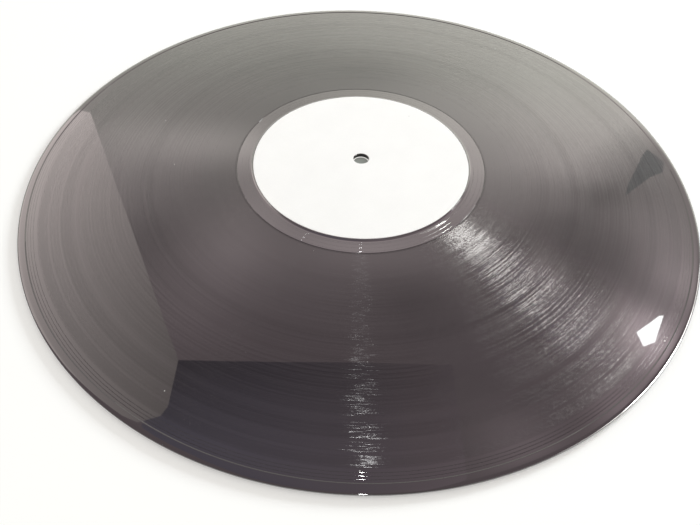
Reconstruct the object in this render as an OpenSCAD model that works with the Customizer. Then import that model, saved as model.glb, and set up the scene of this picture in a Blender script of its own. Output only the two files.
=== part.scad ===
// Long-playing record: one pressed vinyl disc with a paper label on each side.
// Millimetres, +Z up. The origin is on the spindle-hole axis, on the plane the record lies on.

/* [Disc] */
// Outer diameter of the trimmed disc
disc_d = 301.6; // [280:0.1:320]
// Diameter of the spindle hole
hole_d = 7.24; // [6.5:0.01:8.5]
// Full thickness of the raised land that carries the labels
land_t = 2.1; // [1.95:0.05:3]
// Full thickness of the web that carries the grooves
web_t = 1.36; // [1:0.02:1.6]

/* [Edge bead] */
// Full thickness of the bead round the edge
rim_t = 1.9; // [1.7:0.05:2.2]
// Width of the bead, from its foot to the trimmed edge
bead_w = 3.2; // [2.4:0.1:4]
// Width of the bead's flat crest, up to the rounding of the edge
crest_w = 0.8; // [0.3:0.1:1.2]
// Radius that rounds the two corners of the edge
edge_r = 0.6; // [0.2:0.05:0.8]

/* [Labels] */
// Diameter of the paper label
label_d = 102; // [90:0.5:110]
// Thickness of the pressed label paper
label_t = 0.16; // [0.12:0.01:0.3]
// How far the paper stands proud of the land
label_proud = 0.04; // [0.01:0.01:0.08]
// Gap between the label's rim and the wall of its seat
label_gap = 0.08; // [0.05:0.01:0.2]
// How much larger the label's hole is than the spindle hole, in radius
label_hole_gap = 0.2; // [0.18:0.02:0.6]

/* [Label land] */
// Vinyl left standing outside the label's seat
land_lip = 0.25; // [0.15:0.05:1]
// Width of the concave flank from the land down to the web
flank_w = 1.1; // [0.6:0.1:2]

/* [Groove] */
// Width of the groove at the surface
groove_w = 0.2; // [0.1:0.02:0.3]
// Included angle of the groove
groove_angle = 90; // [80:1:100]
// Distance from the trimmed edge to the start of the lead-in groove
leadin_edge = 2.2; // [2:0.1:2.6]
// Distance between neighbouring turns of the lead-in groove
leadin_pitch = 1; // [0.8:0.1:1.2]
// Turns of the lead-in groove
leadin_turns = 3; // [2:1:4]
// Turns drawn for the recorded groove, whose real pitch of about 0.1 mm is too fine for solids
music_turns = 24; // [8:4:32]
// Width of the smooth run-out band, from the closed groove to the last recorded one
runout_w = 4.5; // [4:0.1:8]
// Turns of the lead-out groove across the run-out band
leadout_turns = 2; // [1:1:3]
// Distance from the foot of the label land to the closed groove that ends the side
locked_gap = 1.4; // [0.8:0.1:3]
// How much wider the closed groove is than the spiral that runs into it
locked_extra_w = 0.06; // [0.04:0.02:0.2]

/* [Hidden] */
$fn = 180;
// Small overlap that lets a cutter pass through a face
eps = 0.01;

disc_r = disc_d / 2;
seat_r = label_d / 2 + label_gap;
seat_depth = label_t - label_proud;
land_r = seat_r + land_lip;
flank_foot_r = land_r + flank_w;
bead_foot_r = disc_r - bead_w;
crest_in_r = disc_r - edge_r - crest_w;
// Height of the disc's middle plane above the plane the record lies on
mid_z = land_t / 2 + label_proud;

land_rise = (land_t - web_t) / 2;
bead_rise = (rim_t - web_t) / 2;

locked_r = flank_foot_r + locked_gap;
music_end_r = locked_r + runout_w;
leadout_pitch = runout_w / leadout_turns;
leadin_r = disc_r - leadin_edge;
music_start_r = leadin_r - leadin_turns * leadin_pitch;
music_pitch = (music_start_r - music_end_r) / music_turns;

// Radius of an arc that leaves the web flat and climbs by rise over the width run
function sweep_r(run, rise) = (run * run + rise * rise) / (2 * rise);

// Concave flank in section: flat on the web at radius foot_r, and a step of height rise at its
// other end, which lies inside the foot where run is negative
module concave_flank(foot_r, run, rise) {
    r = sweep_r(abs(run), rise);
    difference() {
        translate([min(foot_r, foot_r + run), 0])
            square([abs(run), web_t / 2 + rise]);
        translate([foot_r, web_t / 2 + r])
            circle(r);
    }
}

// Upper half of the disc's section, from the middle plane up
module half_section() {
    rim_h = rim_t / 2;
    translate([hole_d / 2, 0])
        square([crest_in_r - hole_d / 2, web_t / 2]);
    translate([hole_d / 2, 0])
        square([land_r - hole_d / 2, land_t / 2]);
    concave_flank(flank_foot_r, -flank_w, land_rise);
    concave_flank(bead_foot_r, crest_in_r - bead_foot_r, bead_rise);
    translate([crest_in_r, 0])
        square([crest_w, rim_h]);
    translate([crest_in_r, 0])
        square([disc_r - crest_in_r, rim_h - edge_r]);
    translate([disc_r - edge_r, rim_h - edge_r])
        circle(edge_r);
}

// Section of the V groove, with its top carried up clear of the bead
module groove_section(r, w) {
    slope = tan(groove_angle / 2);
    rise = bead_rise + eps;
    translate([r, web_t / 2])
        polygon([[0, -w / 2 / slope], [w / 2 + rise * slope, rise], [-w / 2 - rise * slope, rise]]);
}

// Half turns of the groove at all the given radii, about the point x on the X axis
module half_turns(x, radii, start) {
    translate([x, 0, 0])
        rotate([0, 0, start])
            rotate_extrude(angle = 180)
                for (r = radii)
                    groove_section(r, groove_w);
}

// Spiral that runs inwards anticlockwise: true half circles about two centres half a pitch
// apart, which meet without a kink
module spiral_groove(start_r, pitch, turns) {
    last = turns - 1;
    half_turns(0, [for (i = [0 : last]) start_r - i * pitch], 0);
    half_turns(-pitch / 2, [for (i = [0 : last]) start_r - (i + 0.5) * pitch], 180);
}

// The one groove of a side, from the lead-in to the closed end, cut into the upper face
module side_groove() {
    spiral_groove(leadin_r, leadin_pitch, leadin_turns);
    spiral_groove(music_start_r, music_pitch, music_turns);
    spiral_groove(music_end_r, leadout_pitch, leadout_turns);
    rotate_extrude()
        groove_section(locked_r, groove_w + locked_extra_w);
}

module label_seat() {
    translate([0, 0, land_t / 2 - seat_depth])
        cylinder(r = seat_r, h = seat_depth + eps);
}

module vinyl_disc() {
    color([0.05, 0.05, 0.055])
        translate([0, 0, mid_z])
            difference() {
                rotate_extrude() {
                    half_section();
                    mirror([0, 1]) half_section();
                }
                // Turning the cutters over keeps the spiral's hand as seen from either face
                for (turn = [0, 180])
                    rotate([turn, 0, 0]) {
                        label_seat();
                        side_groove();
                    }
            }
}

// Paper ring with its lower face at height z
module label(z) {
    color([0.96, 0.96, 0.95])
        translate([0, 0, z])
            difference() {
                cylinder(d = label_d, h = label_t);
                translate([0, 0, -eps])
                    cylinder(r = hole_d / 2 + label_hole_gap, h = label_t + 2 * eps);
            }
}

module side_a_label() {
    label(mid_z + land_t / 2 - seat_depth);
}

module side_b_label() {
    label(0);
}

vinyl_disc();
side_a_label();
side_b_label();
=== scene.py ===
import math
import random
import bmesh
import bpy
import numpy as np
from mathutils import Matrix, Vector


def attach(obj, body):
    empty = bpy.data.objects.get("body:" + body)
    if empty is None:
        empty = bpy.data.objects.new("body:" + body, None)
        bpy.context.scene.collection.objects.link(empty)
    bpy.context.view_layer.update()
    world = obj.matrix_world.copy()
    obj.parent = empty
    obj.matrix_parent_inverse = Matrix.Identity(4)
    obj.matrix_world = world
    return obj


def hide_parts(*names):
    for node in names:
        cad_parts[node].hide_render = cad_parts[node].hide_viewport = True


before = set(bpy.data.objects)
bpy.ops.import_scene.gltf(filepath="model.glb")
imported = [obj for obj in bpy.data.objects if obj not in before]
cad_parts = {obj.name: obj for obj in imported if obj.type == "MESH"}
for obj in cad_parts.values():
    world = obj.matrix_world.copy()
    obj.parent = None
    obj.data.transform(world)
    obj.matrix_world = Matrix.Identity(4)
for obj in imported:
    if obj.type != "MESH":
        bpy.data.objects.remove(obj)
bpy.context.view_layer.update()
mm = 0.001
noiseSpan = (0.3, 0.7)  # where most values of a noise lie
print("frame loaded:", sorted(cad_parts))


# mesh helpers: points are (x, y, z) in millimetres
def makeObject(name, points, faces, materials, picks=None, crisp=()):
    mesh = bpy.data.meshes.new(name)
    mesh.from_pydata([(x * mm, y * mm, z * mm) for x, y, z in points], [], faces)
    for material in materials:
        mesh.materials.append(material)
    if picks is not None:
        mesh.polygons.foreach_set("material_index", picks)
    mesh.polygons.foreach_set("use_smooth", [True] * len(mesh.polygons))
    for n in crisp:
        mesh.polygons[n].use_smooth = False
    mesh.validate()
    mesh.update()
    piece = bpy.data.objects.new(name, mesh)
    bpy.context.scene.collection.objects.link(piece)
    return piece


def weld(piece, distance):
    shape = bmesh.new()
    shape.from_mesh(piece.data)
    bmesh.ops.remove_doubles(shape, verts=shape.verts, dist=distance * mm)
    bmesh.ops.recalc_face_normals(shape, faces=shape.faces)
    shape.to_mesh(piece.data)
    shape.free()
    piece.data.update()


class nodeKit:  # the node tree of a material or of the world, with short calls for the nodes used here
    def __init__(self, owner):
        owner.use_nodes = True
        self.owner = owner
        self.tree = owner.node_tree
        self.tree.nodes.clear()

    def put(self, socket, value):
        # links another node's output, or sets a plain value
        if hasattr(value, "is_output"):
            self.tree.links.new(value, socket)
        else:
            socket.default_value = value

    def add(self, kind, values=None, **settings):
        node = self.tree.nodes.new(kind)
        for key, value in settings.items():
            setattr(node, key, value)
        for key, value in (values or {}).items():
            self.put(node.inputs[key], value)
        return node

    def maths(self, operation, a, b=0.0, c=0.0):
        return self.add("ShaderNodeMath", {0: a, 1: b, 2: c}, operation=operation).outputs[0]

    def vector(self, operation, a, b=(0, 0, 0), scale=None):
        values = {0: a, 1: b}
        if scale is not None:
            values["Scale"] = scale
        node = self.add("ShaderNodeVectorMath", values, operation=operation)
        return node.outputs["Value" if operation == "LENGTH" else "Vector"]

    def upwards(self, height):
        return self.add("ShaderNodeCombineXYZ", {"Z": height}).outputs[0]

    def mix(self, factor, a, b):
        node = self.add("ShaderNodeMix", {0: factor}, data_type="RGBA")
        for socket, colour in ((6, a), (7, b)):
            self.put(node.inputs[socket], colour if hasattr(colour, "is_output") else (*colour, 1))
        return node.outputs[2]

    def noise(self, place, scale, detail, rough, output="Fac"):
        values = {"Vector": place, "Scale": scale, "Detail": detail, "Roughness": rough}
        return self.add("ShaderNodeTexNoise", values).outputs[output]

    def parts(self, colour):
        return self.add("ShaderNodeSeparateColor", {0: colour}).outputs

    def specks(self, place, scale, share, size):
        # 1 inside small round specks: `share` of the cells stay empty
        values = {"Vector": place, "Scale": scale, "Randomness": 1.0}
        cells = self.add("ShaderNodeTexVoronoi", values, feature="F1")
        rare = self.maths("GREATER_THAN", self.parts(cells.outputs["Color"])[0], share)
        return self.maths("MULTIPLY", rare, self.maths("LESS_THAN", cells.outputs["Distance"], size))

    def average(self, a, b):
        return self.maths("ADD", self.maths("MULTIPLY", a, 0.5), self.maths("MULTIPLY", b, 0.5))

    def remap(self, value, low, high, outLow=0.0, outHigh=1.0):
        values = {"Value": value, 1: low, 2: high, 3: outLow, 4: outHigh}
        return self.add("ShaderNodeMapRange", values).outputs[0]

    def output(self, shader, kind="ShaderNodeOutputMaterial"):
        self.add(kind, {"Surface": shader})
        return self.owner


def materialKit(name):
    return nodeKit(bpy.data.materials.new(name))


# the vinyl disc: sizes in millimetres, heights from the lower label's face
disc = {
    "columns": 336,  # steps round the disc
    "outer": 150.8, "bore": 3.62, "middle": 1.09,
    "webTop": 1.77, "rimTop": 2.04, "landTop": 2.14, "seatFloor": 2.02,
    "edgeWide": 1.35, "edgeHigh": 0.5, "edgeSteps": 10,  # the rounded edge
    "crest": 147.78, "beadFoot": 147.48,  # the narrow step of the rim
    # rings over the step, from its crest
    "beadRings": (0.82, 0.12, 0.0, -0.05, -0.1, -0.2, -0.25, -0.3, -0.36),
    "seat": 51.08, "land": 51.33, "flankFoot": 52.43, "flankCurve": 2.6,
    # rings up the land's flank, as shares of its width
    "flankRings": (0.0, 0.2, 0.4, 0.55, 0.68, 0.79, 0.88, 0.95),
    # rings over the land: from its outer edge, and how far under its top
    "landRings": ((0.0, 0.012), (-0.04, 0.002), (-0.09, 0.0), (-0.2, 0.0), (-0.24, 0.01), (-0.25, 0.04)),
    "seatRings": (40.0, 20.0, 8.0, 3.9),  # rings over the seat's floor, under the label
    # rings into the bore: from its wall, and how far under the seat's floor
    "boreRings": ((0.08, 0.005), (0.0, 0.07), (0.0, 0.52)),
    "weld": 0.002, "seed": 11,
}

groove = {
    # the spirals: circles outside and inside them, radius where the cut starts, land kept outside it,
    # pitch, number of turns, column where it starts, and the cut's width and depth
    "leadIn": {
        "outside": 147.35, "start": 146.9, "lip": 0.3, "pitch": 1.02, "turns": 3.1, "column": 149,
        "inside": 143.4, "width": 0.15, "depth": 0.053,
    },
    "leadOut": {
        "outside": 58.3, "start": 57.9, "lip": 0.18, "pitch": 1.86, "turns": 2.36, "column": 210,
        "inside": 53.42, "width": 0.075, "depth": 0.0265,
    },
    "side": 0.03,  # flat kept beside a groove so that its walls stay crisp
    "bottom": 0.3,  # the floor's share of the groove's width
    "runIn": 18,  # a spiral deepens over one part in so many of a turn
    "clear": 0.06,  # least distance from a spiral's free inner edge to the circle inside it
    "closed": 53.25, "closedWidth": 0.1, "closedDepth": 0.036,
    "musicStep": 1.9, "ripple": 0.0012,  # step of the recorded band and how far its lands wander in height
    "quiet": ((95.6, 101.4), (130.4, 134.2)),  # spaces between the tracks
    "border": 58.6, "borderWidth": 0.42, "borderDepth": 0.1, "borderRing": 0.8,  # the last recorded turn
}

# slots of the disc's finishes, in the order of vinylLook["finishes"]
rimSlot, recordedSlot, runOutSlot, betweenSlot, lastTurnSlot = range(5)


def webHeight(radius):
    # top face of the web, with the step up to the rim and the concave flank of the label land
    if radius > disc["beadFoot"]:
        share = min(1.0, (radius - disc["beadFoot"]) / (disc["crest"] - disc["beadFoot"]))
        return disc["webTop"] + (disc["rimTop"] - disc["webTop"]) * share ** 2 * (3 - 2 * share)
    if radius < disc["flankFoot"]:
        share = min(1.0, (disc["flankFoot"] - radius) / (disc["flankFoot"] - disc["land"]))
        return disc["webTop"] + (disc["landTop"] - disc["webTop"]) * share ** disc["flankCurve"]
    return disc["webTop"]


def grooveSection(width):
    # offsets from the groove's middle, outermost first, and the share of the depth there
    half, side, bottom = width / 2, groove["side"], width / 2 * groove["bottom"]
    return [(half + side, 0), (half, 0), (bottom, 1), (-bottom, 1), (-half, 0), (-half - side, 0)]


cutCells = (2, 3, 4)  # the cells that lead to these points of the section are the groove's walls and floor


class discFace:  # upper half of the disc, ring by ring from the edge to the bore
    def __init__(self, radius, height):
        self.points, self.faces, self.picks, self.crisp = [], [], [], []
        self.count = disc["columns"]
        self.turns = [2 * math.pi * i / self.count for i in range(self.count)]
        self.last = self.ring(radius, height)  # the ring that the next one is joined to

    def point(self, column, radius, height):
        turn = self.turns[column % self.count]
        self.points.append((radius * math.cos(turn), radius * math.sin(turn), height))
        return len(self.points) - 1

    def webPoint(self, column, radius, dip=0.0):
        return self.point(column, radius, webHeight(radius) - dip)

    def ring(self, radius, height):
        return [self.point(i, radius, height) for i in range(self.count)]

    def cell(self, corners, pick, crisp=False):
        if crisp:
            self.crisp.append(len(self.faces))
        self.faces.append(tuple(corners))
        self.picks.append(pick)

    def strip(self, a, b, pick, crisp=()):
        # the cells between two rows of points that run inwards
        for m in range(len(a) - 1):
            self.cell((a[m], b[m], b[m + 1], a[m + 1]), pick, m in crisp)

    def to(self, radius, pick, height=None, crisp=False):
        # a new ring, at the web's own height if none is given
        outer = self.last
        inner = self.ring(radius, webHeight(radius) if height is None else height)
        for i in range(self.count):
            k = (i + 1) % self.count
            self.cell((outer[i], outer[k], inner[k], inner[i]), pick, crisp)
        self.last = inner

    def cut(self, section, middle, depth, pick):
        # a round groove
        for n, (offset, share) in enumerate(section):
            self.to(middle + offset, pick, disc["webTop"] - share * depth, n in cutCells)

    def spiral(self, spec, pick):
        # one groove that winds inwards anticlockwise between two circles
        rows = self.spiralRows(spec)
        for a, b in zip(rows, rows[1:]):
            self.strip(a, b, pick, cutCells)
        self.fillOutside(rows, spec, pick)
        self.fillInside(rows, spec, pick)

    def spiralRows(self, spec):
        # a row of points across the groove at each column; neighbouring turns share the land between them
        count, pitch, first = self.count, spec["pitch"], spec["column"]
        last, fade = round(spec["turns"] * count), count // groove["runIn"]
        rows = []
        for k in range(last + 1):
            depth = spec["depth"] * min(1.0, k / fade, (last - k) / fade)
            middle = spec["start"] - pitch * k / count
            inner = min(pitch - spec["lip"], middle - spec["inside"] - groove["clear"])
            row = [rows[k - count][-1] if k >= count else self.webPoint(first + k, middle + spec["lip"])]
            for offset, share in grooveSection(spec["width"]) + [(-inner, 0)]:
                row.append(self.webPoint(first + k, middle + offset, depth * share))
            rows.append(row)
        return rows

    def fillOutside(self, rows, spec, pick):
        # the wedge between the outer circle and the first turn, in three cells across
        count, fill = self.count, []
        for k in range(count):
            column = spec["column"] + k
            reach = math.hypot(*self.points[rows[k][0]][:2]) - spec["outside"]
            between = [self.webPoint(column, spec["outside"] + reach * share) for share in (1 / 3, 2 / 3)]
            fill.append([self.last[column % count]] + between + [rows[k][0]])
        for a, b in zip(fill, fill[1:]):
            self.strip(a, b, pick)
        self.cell([fill[-1][0]] + fill[0][:-1] + rows[0] + fill[-1][:0:-1], pick)

    def fillInside(self, rows, spec, pick):
        # the wedge between the last turn and the inner circle
        count, last = self.count, len(rows) - 1
        inside = self.ring(spec["inside"], webHeight(spec["inside"]))

        def at(k):
            return inside[(spec["column"] + k) % count]

        for k in range(last - count + 1, last):
            self.cell((rows[k][-1], rows[k + 1][-1], at(k + 1), at(k)), pick)
        self.cell(rows[last] + [at(last), at(last + 1), rows[last - count + 1][-1]], pick)
        self.last = inside


def recordedBand(face, rand):
    # plain rings whose lands wander in height, then the deeper last turn
    start, stop, step = groove["leadIn"]["inside"], groove["leadOut"]["outside"], groove["musicStep"]
    border = groove["border"] + groove["borderRing"]
    steps = round((start - stop) / step)
    for n in range(1, steps):
        radius = start + (stop - start) * n / steps
        quiet = any(low < radius + step / 2 < high for low, high in groove["quiet"])
        if radius > border:
            height = disc["webTop"] - rand.random() * groove["ripple"]
            face.to(radius, betweenSlot if quiet else recordedSlot, height)
    face.to(border, recordedSlot, disc["webTop"])
    section = grooveSection(groove["borderWidth"])[:-1]  # the run-out band begins at its inner wall
    face.cut(section, groove["border"], groove["borderDepth"], lastTurnSlot)


def halfDisc(seed):
    face = discFace(disc["outer"], disc["middle"])
    for step in range(disc["edgeSteps"]):
        turn = math.radians(90 * step / (disc["edgeSteps"] - 1))
        radius = disc["outer"] - disc["edgeWide"] * (1 - math.cos(turn))
        face.to(radius, rimSlot, disc["rimTop"] - disc["edgeHigh"] * (1 - math.sin(turn)))
    for offset in disc["beadRings"]:
        face.to(disc["crest"] + offset, rimSlot)
    face.to(groove["leadIn"]["outside"], rimSlot)
    face.spiral(groove["leadIn"], rimSlot)
    recordedBand(face, random.Random(seed))
    face.to(groove["leadOut"]["outside"], runOutSlot)
    face.spiral(groove["leadOut"], runOutSlot)
    face.cut(grooveSection(groove["closedWidth"]), groove["closed"], groove["closedDepth"], runOutSlot)
    for share in disc["flankRings"]:
        face.to(disc["flankFoot"] - (disc["flankFoot"] - disc["land"]) * share, runOutSlot)
    for offset, under in disc["landRings"]:
        face.to(disc["land"] + offset, runOutSlot, disc["landTop"] - under)
    for radius in (disc["seat"], *disc["seatRings"]):
        face.to(radius, runOutSlot, disc["seatFloor"])
    for offset, under in disc["boreRings"]:
        face.to(disc["bore"] + offset, runOutSlot, disc["seatFloor"] - under)
    face.to(disc["bore"], runOutSlot, disc["middle"])
    return face


def buildDisc(materials):
    # the lower half is the upper one turned over, with lands that wander in their own way
    points, faces, picks, crisp = [], [], [], []
    for side in (0, 1):
        half = halfDisc(disc["seed"] + side)
        base = len(points)
        for x, y, z in half.points:
            points.append((x, y, z) if side == 0 else (x, -y, 2 * disc["middle"] - z))
        crisp += [len(faces) + n for n in half.crisp]
        faces += [tuple(base + v for v in corners) for corners in half.faces]
        picks += half.picks
    piece = makeObject("pressed_vinyl", points, faces, materials, picks, crisp)
    weld(piece, disc["weld"])
    triangles = sum(len(p.vertices) - 2 for p in piece.data.polygons)
    print("vinyl disc:", len(piece.data.vertices), "points", triangles, "triangles")
    return piece


vinylLook = {
    "dark": (0.0105, 0.0082, 0.0100), "light": (0.0170, 0.0142, 0.0150),
    "tone": (0.34, 0.66),  # where the colour is all dark and all light
    "cloud": (18.0, 3.0, 0.55), "smear": (1.0, 3.0, 0.6),  # noise: scale, detail, roughness
    "smearCells": (1.6, 75.0),  # smears along the groove: cells per radian and per metre of radius
    "dust": (0.42, 0.42, 0.40), "dustSpecks": (230.0, 0.982, 0.06),  # scale, empty share, size
    "smoothRoughness": (0.04, 0.09), "grooveRoughness": (0.1748, 0.2052),  # least and most
    "swell": (90.0, 2.0, 0.5), "swellHeight": 0.000006,  # slight waves in the smooth finishes, in metres
    "anisotropy": 1.0, "anisotropyTurn": 0.25, "ior": 1.52, "coatRoughness": 0.016, "coatIor": 1.5,
    # level: shine of the walls under the flat lands, lands: how much of the face is flat
    "finishes": {
        "rimVinyl": {"grooved": False, "level": 0.14, "lands": 1.0},
        "recordedVinyl": {"grooved": True, "level": 0.075, "lands": 1.0},
        "runOutVinyl": {"grooved": False, "level": 0.38, "lands": 1.0},
        "betweenTracksVinyl": {"grooved": True, "level": 0.075, "lands": 0.93},
        "lastTurnVinyl": {"grooved": True, "level": 0.075, "lands": 0.8},
    },
    # lean of the groove walls in runs along the groove: width of a run in millimetres, cells per radian,
    # how far it wanders (across, along) and how far whole runs differ (across, along)
    "runs": (
        {"width": 0.7, "cells": 7.0, "wander": (0.15, 0.03), "apart": (0.08, 0.01)},
        {"width": 0.45, "cells": 75.0, "wander": (0.16, 0.07), "apart": (0.0, 0.0)},
        {"width": 3.1, "cells": 1.6, "wander": (0.04, 0.0), "apart": (0.02, 0.0)},
    ),
    "runNoise": (1.0, 1.5, 0.6), "runShift": 60.0,  # noise of the runs, and how far apart in it they may lie
    # bare outer walls that flash in a lamp: width of a run, their share inside and outside these radii,
    # lean, how far whole runs differ along the groove, and their fine grain (across, along)
    "walls": {
        "width": 0.21, "radii": (66.0, 84.0), "share": (1.0, 0.5), "lean": 0.84, "apart": 0.1,
        "grain": (0.8, 0.1), "grainNoise": (900.0, 1.0, 0.6),
    },
    # seeds of the numbers that each run has for itself
    "seeds": {"runs": 31.7, "runsAlong": 17.3, "walls": 7.9, "wallsAlong": 91.3},
    # radius in millimetres and how rough the recorded band is there, against "grooveRoughness"
    "bands": (
        (58.0, 1.0), (66.0, 1.0), (73.0, 0.98), (78.0, 0.97), (84.0, 0.97), (96.0, 1.0),
        (98.0, 0.9), (100.5, 0.98), (127.0, 1.05), (132.0, 0.97), (141.0, 1.05), (146.5, 0.97),
    ),
}


def runNumber(kit, radius, width, seed):
    # a number of its own, from 0 to 1, for each run of grooves
    index = kit.maths("FLOOR", kit.maths("DIVIDE", radius, width * mm))
    values = {"W": kit.maths("ADD", index, seed)}
    return kit.add("ShaderNodeTexWhiteNoise", values, noise_dimensions="1D").outputs["Value"]


def nextNumber(kit, number, seed):
    # another number from 0 to 1, from one that a run has already
    return kit.maths("FRACT", kit.maths("MULTIPLY", number, seed))


def swing(kit, number, amount, base):
    # adds up to half of `amount` to either side of the base
    return kit.maths("MULTIPLY_ADD", kit.maths("SUBTRACT", number, 0.5), amount, base)


def wallLean(kit, place, outward, radius, geometry):
    # tilts the shading normal as the cut walls do; each run of grooves has a pattern of its own
    look, walls = vinylLook, vinylLook["walls"]
    seeds = look["seeds"]
    lean = [0.0, 0.0]  # across the groove and along it
    streaks = []
    for n, run in enumerate(look["runs"]):
        own = runNumber(kit, radius, run["width"], seeds["runs"] * n)
        lift = kit.upwards(kit.maths("MULTIPLY", own, look["runShift"]))
        spot = kit.vector("ADD", kit.vector("SCALE", outward, scale=run["cells"]), lift)
        parts = kit.parts(kit.noise(spot, *look["runNoise"], output="Color"))
        streaks.append(parts[0])
        differs = (own, nextNumber(kit, own, seeds["runsAlong"]))
        for k in (0, 1):
            if run["wander"][k]:
                lean[k] = swing(kit, parts[k], run["wander"][k], lean[k])
            if run["apart"][k]:
                lean[k] = swing(kit, differs[k], run["apart"][k], lean[k])
    own = runNumber(kit, radius, walls["width"], seeds["walls"])
    inside, outside = (r * mm for r in walls["radii"])
    bare = kit.maths("LESS_THAN", own, kit.remap(radius, inside, outside, *walls["share"]))
    grain = kit.parts(kit.noise(place, *walls["grainNoise"], output="Color"))
    wander = [swing(kit, grain[k], walls["grain"][k], 0.0) for k in (0, 1)]
    lean[0] = kit.maths("MULTIPLY_ADD", bare, kit.maths("ADD", wander[0], walls["lean"]), lean[0])
    lean[1] = kit.maths("MULTIPLY_ADD", bare, wander[1], lean[1])
    lean[1] = swing(kit, nextNumber(kit, own, seeds["wallsAlong"]), walls["apart"], lean[1])
    spaces = {"vector_type": "VECTOR", "convert_from": "OBJECT", "convert_to": "WORLD"}
    outwards = kit.add("ShaderNodeVectorTransform", {0: outward}, **spaces).outputs[0]
    onwards = kit.vector("CROSS_PRODUCT", geometry, outwards)
    across = kit.vector("SCALE", outwards, scale=lean[0])
    along = kit.vector("SCALE", onwards, scale=lean[1])
    tilted = kit.vector("ADD", geometry, kit.vector("ADD", across, along))
    return kit.vector("NORMALIZE", tilted), streaks[0]


def bandFactor(kit, radius):
    # the figures of "bands" as a smooth curve over the radius; the curve holds half of them
    bands = vinylLook["bands"]
    low, high = bands[0][0], bands[-1][0]
    node = kit.add("ShaderNodeFloatCurve", {"Value": kit.remap(radius, low * mm, high * mm)})
    curve = node.mapping.curves[0]
    for n, (r, level) in enumerate(bands):
        spot = ((r - low) / (high - low), level / 2)
        if 0 < n < len(bands) - 1:
            curve.points.new(*spot)
        else:
            curve.points[0 if n == 0 else -1].location = spot
    node.mapping.update()
    return kit.maths("MULTIPLY", node.outputs[0], 2.0)


def vinylMaterial(name, finish):
    look, grooved = vinylLook, finish["grooved"]
    kit = materialKit(name)
    place = kit.add("ShaderNodeTexCoord").outputs["Object"]
    flat = kit.vector("MULTIPLY", place, (1, 1, 0))
    radius, outward = kit.vector("LENGTH", flat), kit.vector("NORMALIZE", flat)
    around, across = look["smearCells"]
    smearLift = kit.upwards(kit.maths("MULTIPLY", radius, across))
    smearPlace = kit.vector("ADD", kit.vector("SCALE", outward, scale=around), smearLift)
    cloud = kit.noise(place, *look["cloud"])
    smear = kit.noise(smearPlace, *look["smear"])
    if grooved:
        geometry = kit.add("ShaderNodeNewGeometry").outputs["Normal"]
        normal, streak = wallLean(kit, place, outward, radius, geometry)
        wear = kit.remap(smear, *noiseSpan, *look["grooveRoughness"])
        rough = kit.maths("MULTIPLY", wear, bandFactor(kit, radius))
    else:
        streak = smear
        rough = kit.remap(cloud, *noiseSpan, *look["smoothRoughness"])
        height = kit.maths("MULTIPLY", kit.noise(place, *look["swell"]), look["swellHeight"])
        normal = kit.add("ShaderNodeBump", {"Strength": 1.0, "Distance": 1.0, "Height": height}).outputs[0]
    tone = kit.remap(kit.average(cloud, streak), *look["tone"])
    colour = kit.mix(tone, look["dark"], look["light"])
    colour = kit.mix(kit.specks(place, *look["dustSpecks"]), colour, look["dust"])
    shader = kit.add("ShaderNodeBsdfPrincipled", {
        "Base Color": colour, "Roughness": rough, "Normal": normal, "IOR": look["ior"],
        "Specular IOR Level": finish["level"], "Coat Weight": finish["lands"],
        "Coat Roughness": look["coatRoughness"], "Coat IOR": look["coatIor"],
    })
    if grooved:
        tangent = kit.add("ShaderNodeTangent", direction_type="RADIAL", axis="Z")
        kit.put(shader.inputs["Tangent"], tangent.outputs[0])
        kit.put(shader.inputs["Anisotropic"], look["anisotropy"])
        kit.put(shader.inputs["Anisotropic Rotation"], look["anisotropyTurn"])
    return kit.output(shader.outputs[0])


vinyl = buildDisc([vinylMaterial(name, finish) for name, finish in vinylLook["finishes"].items()])
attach(vinyl, "root")
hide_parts("vinyl_disc")


# the paper labels
paper = {
    "outer": 51.0, "hole": 3.82, "thick": 0.16, "round": 0.03, "cornerDrop": 0.004, "wallRing": 0.05,
    "rings": (4.3, 6.0, 10.0, 16.0, 22.0, 28.0, 34.0, 40.0, 46.0, 49.5, 50.7),
    "columns": 256, "weld": 0.0001,
    "white": (0.90, 0.90, 0.89), "fibre": (0.86, 0.86, 0.85), "tone": (0.35, 0.65),
    "fibreNoise": (1400.0, 4.0, 0.65), "cloudNoise": (55.0, 3.0, 0.6),
    "mark": (0.66, 0.66, 0.65), "markSpecks": (210.0, 0.97, 0.07),  # scale, empty share, size
    "roughness": (0.62, 0.78), "level": 0.35, "bump": 0.25, "bumpHeight": 0.00005,
}


def labelProfile():
    # (radius, height over the seat's floor), closed round the paper's section
    hole, outer, thick, bend = paper["hole"], paper["outer"], paper["thick"], paper["round"]
    wall, shoulder, corner = paper["wallRing"], thick - bend, thick - paper["cornerDrop"]
    rows = [(hole, wall), (hole, shoulder), (hole + bend, corner)]
    rows += [(radius, thick) for radius in paper["rings"]]
    rows += [(outer - bend, corner), (outer, shoulder), (outer, wall)]
    return rows + [(outer, 0.0), (hole, 0.0)]


def buildLabel(name, material, top):
    count, rows = paper["columns"], labelProfile()
    points, faces = [], []
    for radius, height in rows:
        for i in range(count):
            turn = 2 * math.pi * i / count
            x, y, z = radius * math.cos(turn), radius * math.sin(turn), disc["seatFloor"] + height
            points.append((x, y, z) if top else (x, -y, 2 * disc["middle"] - z))
    for n in range(len(rows)):
        a, b = n * count, (n + 1) % len(rows) * count
        for i in range(count):
            k = (i + 1) % count
            faces.append((a + i, b + i, b + k, a + k))
    piece = makeObject(name, points, faces, [material])
    weld(piece, paper["weld"])
    return piece


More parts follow.
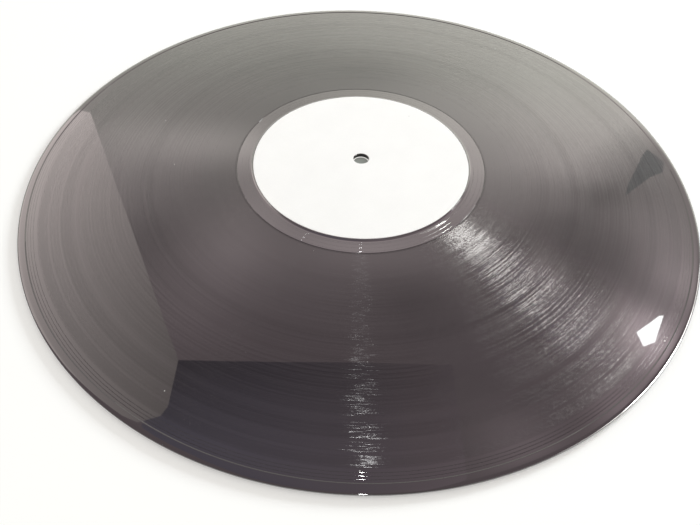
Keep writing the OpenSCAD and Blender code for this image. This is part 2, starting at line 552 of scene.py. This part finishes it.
def paperMaterial():
    kit = materialKit("labelPaper")
    place = kit.add("ShaderNodeTexCoord").outputs["Object"]
    fibre = kit.noise(place, *paper["fibreNoise"])
    cloud = kit.noise(place, *paper["cloudNoise"])
    tone = kit.remap(kit.average(fibre, cloud), *paper["tone"])
    colour = kit.mix(tone, paper["fibre"], paper["white"])
    colour = kit.mix(kit.specks(place, *paper["markSpecks"]), colour, paper["mark"])
    relief = {"Strength": paper["bump"], "Distance": paper["bumpHeight"], "Height": fibre}
    bump = kit.add("ShaderNodeBump", relief)
    shader = kit.add("ShaderNodeBsdfPrincipled", {
        "Base Color": colour, "Roughness": kit.remap(fibre, *noiseSpan, *paper["roughness"]),
        "Normal": bump.outputs[0], "Specular IOR Level": paper["level"],
    })
    return kit.output(shader.outputs[0])


labelPaper = paperMaterial()
for node, name, top in (("side_a_label", "upper_label", True), ("side_b_label", "lower_label", False)):
    label = buildLabel(name, labelPaper, top)
    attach(label, "root")
    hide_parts(node)
print("labels made")


# floor and world; lengths in millimetres
stage = {
    "floorSize": 6000.0, "floorHeight": -0.02, "floorColumns": 64, "opening": 147.0,
    "floor": (0.86, 0.86, 0.85), "floorLift": 0.16,
    "holeFloorRadius": 3.5, "holeFloorHeight": -0.01, "holeFloorColumns": 32,
    # a darker grey-green for the ground in the spindle hole: painted shade under the disc
    "holeShadeColour": (0.42, 0.45, 0.43),
    "worldLevel": 0.78, "worldColour": (1.0, 0.975, 0.94),
}


def seenRays(kit):
    # 1 for rays that come straight from the camera, by a mirror or through glass
    light = kit.add("ShaderNodeLightPath").outputs
    seen = kit.maths("MAXIMUM", light["Is Camera Ray"], light["Is Glossy Ray"])
    return kit.maths("MAXIMUM", seen, light["Is Transmission Ray"])


def groundMaterial(name, colour, lift):
    # matt from above, a little brighter where it is seen, and clear from below, so that side B can be
    # looked at through it
    kit = materialKit(name)
    plain = kit.add("ShaderNodeBsdfDiffuse", {"Color": (*colour, 1)})
    glow = kit.add("ShaderNodeEmission", {"Strength": kit.maths("MULTIPLY", seenRays(kit), lift)})
    both = kit.add("ShaderNodeAddShader", {0: plain.outputs[0], 1: glow.outputs[0]})
    under = kit.add("ShaderNodeNewGeometry").outputs["Backfacing"]
    clear = kit.add("ShaderNodeBsdfTransparent")
    shader = kit.add("ShaderNodeMixShader", {0: under, 1: both.outputs[0], 2: clear.outputs[0]})
    return kit.output(shader.outputs[0])


def buildFloor():
    # open under the disc, so that side B gets light and can be seen from below
    half, count, points = stage["floorSize"] / 2, stage["floorColumns"], []
    for i in range(count):
        x, y = math.cos(2 * math.pi * i / count), math.sin(2 * math.pi * i / count)
        for reach in (half / max(abs(x), abs(y)), stage["opening"]):
            points.append((x * reach, y * reach, stage["floorHeight"]))
    faces = []
    for i in range(0, 2 * count, 2):
        faces.append((i, (i + 2) % (2 * count), (i + 3) % (2 * count), i + 1))
    material = groundMaterial("paleFloor", stage["floor"], stage["floorLift"])
    makeObject("floor", points, faces, [material])


def buildHoleFloor():
    # the ground that shows through the spindle hole: darker than the floor and without its glow, as painted
    # shade under the disc
    radius, count, points = stage["holeFloorRadius"], stage["holeFloorColumns"], []
    for i in range(count):
        turn = 2 * math.pi * i / count
        points.append((radius * math.cos(turn), radius * math.sin(turn), stage["holeFloorHeight"]))
    material = groundMaterial("shadedFloorInHole", stage["holeShadeColour"], 0.0)
    makeObject("shadedFloorInHole", points, [tuple(range(count))], [material])


def buildWorld():
    # white where it is seen, and a plain studio level as light
    level = stage["worldLevel"]
    world = bpy.data.worlds.new("studio")
    bpy.context.scene.world = world
    kit = nodeKit(world)
    strength = kit.maths("MULTIPLY_ADD", seenRays(kit), 1.0 - level, level)
    background = kit.add("ShaderNodeBackground", {"Color": (*stage["worldColour"], 1), "Strength": strength})
    kit.output(background.outputs[0], "ShaderNodeOutputWorld")


# reflector cards, which only the gloss sees: corners are (x, y) in metres on a level plane at `height`;
# a slope over x or y is (from, to, radiance there, radiance there)
cards = {
    "ceiling": {
        "height": 1.25, "corners": [(-5, -4), (5, -4), (5, 6), (-5, 6)],
        # y and the radiance there
        "rows": ((0.5, 1.08), (0.8, 1.42), (1.1, 1.57), (1.8, 1.8), (2.1, 1.76), (2.7, 2.22)),
        "patches": (  # soft lighter and darker places: x, y, half width, half depth, amount
            (-0.62, 1.55, 0.28, 0.15, 1.5), (-1.0, 1.45, 0.3, 0.18, 0.8), (-0.5, 0.85, 0.16, 0.28, 0.5),
            (-0.74, 1.02, 0.12, 0.16, -0.3), (0.05, 0.97, 0.4, 0.11, 0.75), (0.8, 1.0, 0.2, 0.2, -0.6),
            (1.14, 1.0, 0.13, 0.3, 1.2), (0.84, 0.62, 0.17, 0.27, 1.3), (-0.4, 1.05, 0.14, 0.2, 0.75),
            (0.05, 2.2, 0.32, 0.17, -0.5), (-1.0, 1.62, 0.22, 0.14, 0.5), (0.95, 1.36, 0.2, 0.08, -0.55),
            (0.95, 0.7, 0.1, 0.12, 4.2), (-1.0, 1.2, 0.25, 0.15, 0.4), (-0.8, 0.6, 0.25, 0.15, 0.35),
            (0.9, 1.95, 0.25, 0.35, 0.3), (0.48, 0.34, 0.13, 0.1, 0.7), (0.8, 0.44, 0.1, 0.1, 0.8),
            (1.1, 0.93, 0.1, 0.1, 0.8), (0.67, 0.95, 0.08, 0.1, 1.2), (0.22, 0.8, 0.18, 0.14, -0.4),
            (0.5, 0.22, 0.2, 0.14, 0.3),
        ),
        # the bright far right: its edge is the sum of two slopes, then how soft the edge is and how bright
        # it gets, both over x, and how it fades over y
        "edge": ((-0.5, 0.72, 0.73, 1.37), (0.85, 1.3, 0.0, 0.43)), "blur": (0.4, 0.9, 0.24, 0.15),
        "bright": (-0.35, 0.85, 0.0, 1.95), "fade": (1.8, 2.7, 1.0, 0.3),
        "tintReach": (0.6, 2.2), "nearTint": (1.0, 0.81, 0.86), "farTint": (1.0, 0.985, 0.885),
    },
    "leftPanel": {
        "height": 1.2, "colour": (1.0, 0.885, 0.855), "slopeX": (-0.5, -1.2, 1.62, 4.1),
        "corners": [
            (-1.19, 1.665), (-0.505, 0.501), (-0.497, 0.36), (-0.51, 0.332), (-0.551, 0.316),
            (-1.2, 0.1), (-2.6, 0.3), (-2.6, 1.6), (-1.5, 1.75),
        ],
    },
    "darkPanel": {
        "height": 1.2, "slopesX": ((-0.5, 0.35, 0.3, 0.74), (0.02, 0.34, 0.0, 0.3)),
        "slopeY": (0.48, 0.27, 0.0, 0.5),
        "tintReach": (-0.5, 0.2), "leftTint": (1.0, 0.93, 1.2), "rightTint": (1.0, 0.8, 0.88),
        "corners": [
            (-0.505, 0.501), (-0.267, 0.51), (0.027, 0.524), (0.30, 0.532), (0.34, -0.6), (-0.4, -0.6),
            (-0.42, 0.15), (-0.56, 0.27), (-0.551, 0.316), (-0.51, 0.332), (-0.497, 0.36),
        ],
    },
    "darkWedge": {
        "height": 1.2, "colour": (0.98, 1.0, 1.0), "radiance": 0.92,
        "corners": [
            (1.204, 1.592), (1.232, 1.547), (1.248, 1.51), (1.222, 1.449), (1.161, 1.415),
            (1.091, 1.354), (1.028, 1.299), (1.067, 1.382), (1.112, 1.451), (1.175, 1.556),
        ],
    },
    "brightPane": {
        "height": 1.19, "colour": (1.0, 1.0, 1.0), "radiance": 22.0,
        "corners": [(0.877, 0.672), (0.882, 0.623), (0.923, 0.64), (0.982, 0.74), (0.968, 0.738)],
    },
}


def softPatch(kit, x, y, placeX, placeY, wide, deep):
    # 1 in the middle of the patch, and falling off all round
    squares = []
    for value, middle, half in ((x, placeX, wide), (y, placeY, deep)):
        away = kit.maths("DIVIDE", kit.maths("SUBTRACT", value, middle), half)
        squares.append(kit.maths("POWER", kit.maths("ABSOLUTE", away), 2.0))
    return kit.maths("EXPONENT", kit.maths("MULTIPLY", kit.maths("ADD", *squares), -1.0))


# each glow gives a card's colour and radiance at (x, y)
def ceilingGlow(kit, spec, x, y):
    level = spec["rows"][0][1]
    for (low, before), (high, after) in zip(spec["rows"], spec["rows"][1:]):
        level = kit.maths("ADD", level, kit.remap(y, low, high, 0.0, after - before))
    for *patch, amount in spec["patches"]:
        level = kit.maths("MULTIPLY_ADD", softPatch(kit, x, y, *patch), amount, level)
    edge = kit.maths("ADD", *(kit.remap(x, *slope) for slope in spec["edge"]))
    past = kit.maths("DIVIDE", kit.maths("SUBTRACT", y, edge), kit.remap(x, *spec["blur"]))
    bright = kit.maths("MULTIPLY", kit.remap(past, -1.0, 1.0), kit.remap(x, *spec["bright"]))
    bright = kit.maths("MULTIPLY", bright, kit.remap(y, *spec["fade"]))
    tint = kit.mix(kit.remap(y, *spec["tintReach"]), spec["nearTint"], spec["farTint"])
    return tint, kit.maths("ADD", level, bright)


def leftGlow(kit, spec, x, y):
    return (*spec["colour"], 1), kit.remap(x, *spec["slopeX"])


def darkGlow(kit, spec, x, y):
    first, second = spec["slopesX"]
    level = kit.maths("ADD", kit.remap(x, *first), kit.remap(y, *spec["slopeY"]))
    level = kit.maths("ADD", level, kit.remap(x, *second))
    return kit.mix(kit.remap(x, *spec["tintReach"]), spec["leftTint"], spec["rightTint"]), level


def plainGlow(kit, spec, x, y):
    return (*spec["colour"], 1), spec["radiance"]


def addCard(name, glowOf):
    spec = cards[name]
    kit = materialKit(name + "Glow")
    place = kit.add("ShaderNodeTexCoord").outputs["Object"]
    x, y = kit.add("ShaderNodeSeparateXYZ", {0: place}).outputs[:2]
    colour, radiance = glowOf(kit, spec, x, y)
    glow = kit.add("ShaderNodeEmission", {"Color": colour, "Strength": radiance})
    corners = [(x / mm, y / mm, spec["height"] / mm) for x, y in spec["corners"]]
    card = makeObject(name, corners, [tuple(range(len(corners)))], [kit.output(glow.outputs[0])])
    for ray in ("camera", "diffuse", "transmission", "volume_scatter", "shadow"):
        setattr(card, "visible_" + ray, False)


# lamps: azimuth from the far side and rise in degrees, as seen from `aim`; lengths in metres, powers in
# watts; those with gloss are seen by the gloss alone and draw the streaks and glints
warmWhite = (1.0, 0.985, 0.94)
lamps = {
    "window": {"aim": (0, 0), "azimuth": 48.0, "rise": 19.6, "away": 2.14, "size": (0.5, 0.5),
               "power": 38.0, "gloss": False, "colour": (0.9, 0.97, 1.0)},
    "streakRight": {"aim": (0, 0), "azimuth": 98.5, "rise": 25.0, "away": 0.66, "size": (0.2, 0.13),
                    "power": 8.0, "gloss": True, "colour": warmWhite},
    "streakMiddle": {"aim": (0, 0), "azimuth": 98.0, "rise": 25.0, "away": 0.7, "size": (0.42, 0.14),
                     "power": 2.3, "gloss": True, "colour": warmWhite},
    "streakWide": {"aim": (0, 0), "azimuth": 99.0, "rise": 25.0, "away": 0.74, "size": (0.75, 0.15),
                   "power": 2.6, "gloss": True, "colour": warmWhite},
    "streakTail": {"aim": (0, 0), "azimuth": 128.0, "rise": 24.0, "away": 0.8, "size": (0.65, 0.12),
                   "power": 0.9, "gloss": True, "colour": (1, 1, 1)},
    "streakNear": {"aim": (0.005, -0.137), "azimuth": 175.5, "rise": 20.0, "away": 0.4,
                   "size": (0.014, 0.07), "power": 0.9, "gloss": True, "colour": (1, 1, 1)},
    "glintNear": {"aim": (0, -0.05), "azimuth": 175.5, "rise": 39.6, "away": 0.6,
                  "size": (0.01, 0.01), "power": 0.05, "gloss": True, "colour": (1, 1, 1)},
    "glintLeft": {"aim": (-0.02, -0.05), "azimuth": 228.0, "rise": 34.0, "away": 0.6,
                  "size": (0.008, 0.008), "power": 0.03, "gloss": True, "colour": (1, 1, 1)},
}


def addLamp(name, spec):
    data = bpy.data.lights.new(name, "AREA")
    data.shape = "RECTANGLE"
    data.energy = spec["power"]
    data.size, data.size_y = spec["size"]
    data.color = spec["colour"]
    lamp = bpy.data.objects.new(name, data)
    turn, rise = math.radians(spec["azimuth"]), math.radians(spec["rise"])
    way = Vector((math.cos(rise) * math.sin(turn), math.cos(rise) * math.cos(turn), math.sin(rise)))
    lamp.location = Vector((*spec["aim"], 0.0)) + way * spec["away"]
    lamp.rotation_euler = way.to_track_quat("Z", "Y").to_euler()
    lamp.visible_camera = False
    lamp.visible_glossy = spec["gloss"]
    lamp.visible_diffuse = not spec["gloss"]
    bpy.context.scene.collection.objects.link(lamp)


buildFloor()
buildHoleFloor()
buildWorld()
addCard("ceiling", ceilingGlow)
addCard("leftPanel", leftGlow)
addCard("darkPanel", darkGlow)
addCard("darkWedge", plainGlow)
addCard("brightPane", plainGlow)
for name, spec in lamps.items():
    addLamp(name, spec)
print("stage made")


# camera: place in metres, angles in degrees, pitch below the horizon, focal length in pixels
view = {
    "place": (0.0, -0.191863, 0.161296), "yaw": -1.056, "pitch": 51.2, "roll": 2.041,
    "focal": 511.83, "imageWidth": 700, "sensor": 36.0, "clip": (0.005, 50.0),
}


def addCamera():
    yaw, pitch, roll = (math.radians(view[angle]) for angle in ("yaw", "pitch", "roll"))
    forward = np.array([math.sin(yaw) * math.cos(pitch), math.cos(yaw) * math.cos(pitch), -math.sin(pitch)])
    level = np.array([math.cos(yaw), -math.sin(yaw), 0.0])
    rise = np.cross(level, forward)
    right = level * math.cos(roll) + rise * math.sin(roll)
    up = rise * math.cos(roll) - level * math.sin(roll)
    data = bpy.data.cameras.new("camera")
    data.sensor_width = view["sensor"]
    data.lens = view["focal"] / view["imageWidth"] * view["sensor"]
    data.clip_start, data.clip_end = view["clip"]
    camera = bpy.data.objects.new("camera", data)
    rows = [[right[i], up[i], -forward[i], view["place"][i]] for i in range(3)]
    camera.matrix_world = Matrix(rows + [[0, 0, 0, 1]])
    bpy.context.scene.collection.objects.link(camera)
    bpy.context.scene.camera = camera


addCamera()
print("camera made")
bpy.context.scene.view_settings.view_transform = "Standard"
